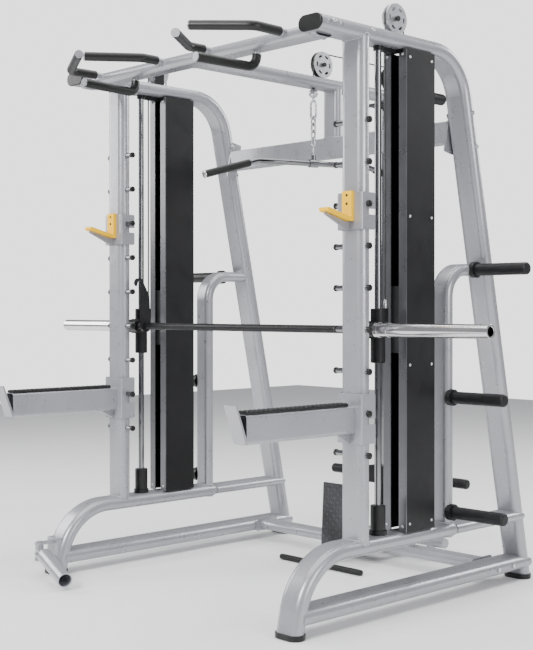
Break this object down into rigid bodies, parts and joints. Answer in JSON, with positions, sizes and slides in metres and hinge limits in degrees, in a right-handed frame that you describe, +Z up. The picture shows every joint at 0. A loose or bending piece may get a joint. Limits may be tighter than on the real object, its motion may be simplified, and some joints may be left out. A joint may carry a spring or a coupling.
{
  "type": "smith machine",
  "caption": "Free-standing smith machine with a counterweighted bar on guide rods, pull-up handles, lat and low-row station, cradles, spotter arms and plate pegs.",
  "frame": {"origin": "On the floor, under the middle of the machine's bounding box.", "axes": "+X to the machine's right along the bar, +Y from the front with the bar catches to the back, +Z up."},
  "size_m": [2.5, 1.7, 2.259],
  "materials": {
    "frame_paint": "glossy silver-grey metallic powder coat over steel tube",
    "strip_paint": "silver-grey powder coat on thin steel strip",
    "handle_paint": "silver-grey powder coat on round bar, bright end plugs",
    "black_powder_coat": "fine textured black powder coat",
    "black_rubber": "ribbed or moulded black rubber",
    "black_plastic": "moulded black plastic cap",
    "chrome": "polished hard chrome",
    "bright_bolts": "zinc plated bolt heads",
    "zinc": "bright zinc plated chain, hook and stop ball",
    "cable_jacket": "black nylon coated steel cable",
    "tread_plate": "raised tread pattern plate",
    "counterweight_steel": "plain black painted block",
    "pulley_aluminium": "turned aluminium wheel",
    "yellow_pad": "satin yellow polyethylene"
  },
  "bodies": {
    "frame": {"front_arches": "frame_paint", "uprights": "frame_paint", "top_rear_tubes": "frame_paint", "base_rails": "frame_paint", "rear_low_rails": "frame_paint", "storage_posts": "frame_paint", "foot_pads": "black_rubber", "tube_end_caps": "black_plastic", "pullup_beam": "frame_paint", "mid_tube": "frame_paint", "centre_post": "frame_paint", "upper_rear_beam": "frame_paint", "rear_base_beam": "frame_paint", "frame_bolts": "bright_bolts", "pullup_handles": "handle_paint", "pullup_grips": "black_rubber", "catch_pins": "chrome", "guide_rods": "chrome", "rod_bumpers": "black_rubber", "rod_clamps": "black_powder_coat", "counterweight_shrouds": "black_powder_coat", "shroud_strips": "strip_paint", "pulley_brackets": "black_powder_coat", "cable_wraps": "cable_jacket", "storage_pegs": "black_powder_coat", "column_foot": "frame_paint", "low_cable": "cable_jacket", "foot_plate": "tread_plate", "landmine_bracket": "frame_paint"},
    "bar_carriage": {"bar_sliders": "black_powder_coat", "bar_cables": "cable_jacket"},
    "bar": {"bar_shaft": "black_powder_coat", "bar_sleeves": "chrome", "bar_hooks": "black_powder_coat"},
    "counterweights": {"counterweights": "counterweight_steel", "counterweight_cables": "cable_jacket"},
    "counterweight_pulleys": {"counterweight_pulleys": "pulley_aluminium"},
    "lat_line": {"lat_chain": "zinc", "lat_cable_front": "cable_jacket"},
    "lat_handle": {"lat_bar": "chrome", "lat_grips": "black_rubber"},
    "plate_carriage": {"plate_carriage": "black_powder_coat", "carriage_cables": "cable_jacket"},
    "lat_pulley_front": {"lat_pulley_front": "pulley_aluminium"},
    "lat_pulley_rear": {"lat_pulley_rear": "pulley_aluminium"},
    "low_handle": {"low_bar": "black_rubber", "low_bar_cable": "cable_jacket"},
    "low_pulley_front": {"low_pulley_front": "pulley_aluminium"},
    "low_pulley_rear": {"low_pulley_rear": "pulley_aluminium"},
    "low_pulley_top": {"low_pulley_top": "pulley_aluminium"},
    "jhook_right": {"jhook_right": "frame_paint", "jhook_pad_right": "yellow_pad"},
    "jhook_left": {"jhook_left": "frame_paint", "jhook_pad_left": "yellow_pad"},
    "spotter_right": {"spotter_right": "frame_paint", "spotter_pad_right": "black_rubber"},
    "spotter_left": {"spotter_left": "frame_paint", "spotter_pad_left": "black_rubber"},
    "landmine_yoke": {"landmine_yoke": "frame_paint"},
    "landmine_tube": {"landmine_tube": "frame_paint"}
  },
  "joints": [
    {"name": "bar_slide", "type": "slide", "parent": "frame", "child": "bar_carriage", "axis": [0, 0, 1], "range_m": [-0.52, 0.6], "deforming": ["bar_cables"]},
    {"name": "bar_turn", "type": "hinge", "parent": "bar_carriage", "child": "bar", "pos_m": [0, -0.163, 1.048], "axis": [1, 0, 0], "range_deg": [-25, 15]},
    {"name": "counterweight_slide", "type": "slide", "parent": "frame", "child": "counterweights", "axis": [0, 0, 1], "range_m": [-0.6, 0.52], "deforming": ["counterweight_cables"]},
    {"name": "counterweight_pulley_turn", "type": "hinge", "parent": "frame", "child": "counterweight_pulleys", "pos_m": [0, -0.036, 2.202], "axis": [1, 0, 0], "continuous": true},
    {"name": "lat_pull", "type": "slide", "parent": "frame", "child": "lat_line", "axis": [0, 0, -1], "range_m": [0, 0.58], "deforming": ["lat_cable_front"]},
    {"name": "lat_swivel", "type": "hinge", "parent": "lat_line", "child": "lat_handle", "pos_m": [0, 0.256, 1.79], "axis": [0, 0, 1], "continuous": true},
    {"name": "plate_carriage_slide", "type": "slide", "parent": "frame", "child": "plate_carriage", "axis": [0, 0, 1], "range_m": [0, 0.58], "deforming": ["carriage_cables"]},
    {"name": "lat_pulley_front_turn", "type": "hinge", "parent": "frame", "child": "lat_pulley_front", "pos_m": [0, 0.307, 2.184], "axis": [1, 0, 0], "continuous": true},
    {"name": "lat_pulley_rear_turn", "type": "hinge", "parent": "frame", "child": "lat_pulley_rear", "pos_m": [0, 0.761, 2.184], "axis": [1, 0, 0], "continuous": true},
    {"name": "low_row_pull", "type": "slide", "parent": "frame", "child": "low_handle", "axis": [0, -1, 0], "range_m": [0, 0.4]},
    {"name": "low_pulley_front_turn", "type": "hinge", "parent": "frame", "child": "low_pulley_front", "pos_m": [0, 0.493, 0.08], "axis": [1, 0, 0], "continuous": true},
    {"name": "low_pulley_rear_turn", "type": "hinge", "parent": "frame", "child": "low_pulley_rear", "pos_m": [0, 0.728, 0.08], "axis": [1, 0, 0], "continuous": true},
    {"name": "low_pulley_top_turn", "type": "hinge", "parent": "frame", "child": "low_pulley_top", "pos_m": [0.028, 0.804, 1.998], "axis": [1, 0, 0], "continuous": true},
    {"name": "jhook_right_lift", "type": "slide", "parent": "frame", "child": "jhook_right", "axis": [0, 0, 1], "range_m": [0, 0.0275]},
    {"name": "jhook_left_lift", "type": "slide", "parent": "frame", "child": "jhook_left", "axis": [0, 0, 1], "range_m": [0, 0.0275]},
    {"name": "spotter_right_lift", "type": "slide", "parent": "frame", "child": "spotter_right", "axis": [0, 0, 1], "range_m": [0, 0.0275]},
    {"name": "spotter_left_lift", "type": "slide", "parent": "frame", "child": "spotter_left", "axis": [0, 0, 1], "range_m": [0, 0.0275]},
    {"name": "landmine_turn", "type": "hinge", "parent": "frame", "child": "landmine_yoke", "pos_m": [-0.715, -0.66, 0.104], "axis": [0, 0, 1], "range_deg": [-140, 34]},
    {"name": "landmine_tip", "type": "hinge", "parent": "landmine_yoke", "child": "landmine_tube", "pos_m": [-0.68201, -0.66822, 0.104], "axis": [0.2419, 0.9703, 0], "range_deg": [-75, 0]}
  ],
  "couplings": [
    {"joint": "counterweight_slide", "follows": "bar_slide", "ratio": -1},
    {"joint": "counterweight_pulley_turn", "follows": "bar_slide", "rad_per_m": -19.608},
    {"joint": "plate_carriage_slide", "follows": "lat_pull", "ratio": 1},
    {"joint": "lat_pulley_front_turn", "follows": "lat_pull", "rad_per_m": 19.608},
    {"joint": "lat_pulley_rear_turn", "follows": "lat_pull", "rad_per_m": 19.608},
    {"joint": "low_pulley_front_turn", "follows": "low_row_pull", "rad_per_m": -26.316},
    {"joint": "low_pulley_rear_turn", "follows": "low_row_pull", "rad_per_m": -26.316},
    {"joint": "low_pulley_top_turn", "follows": "low_row_pull", "rad_per_m": 26.316}
  ]
}
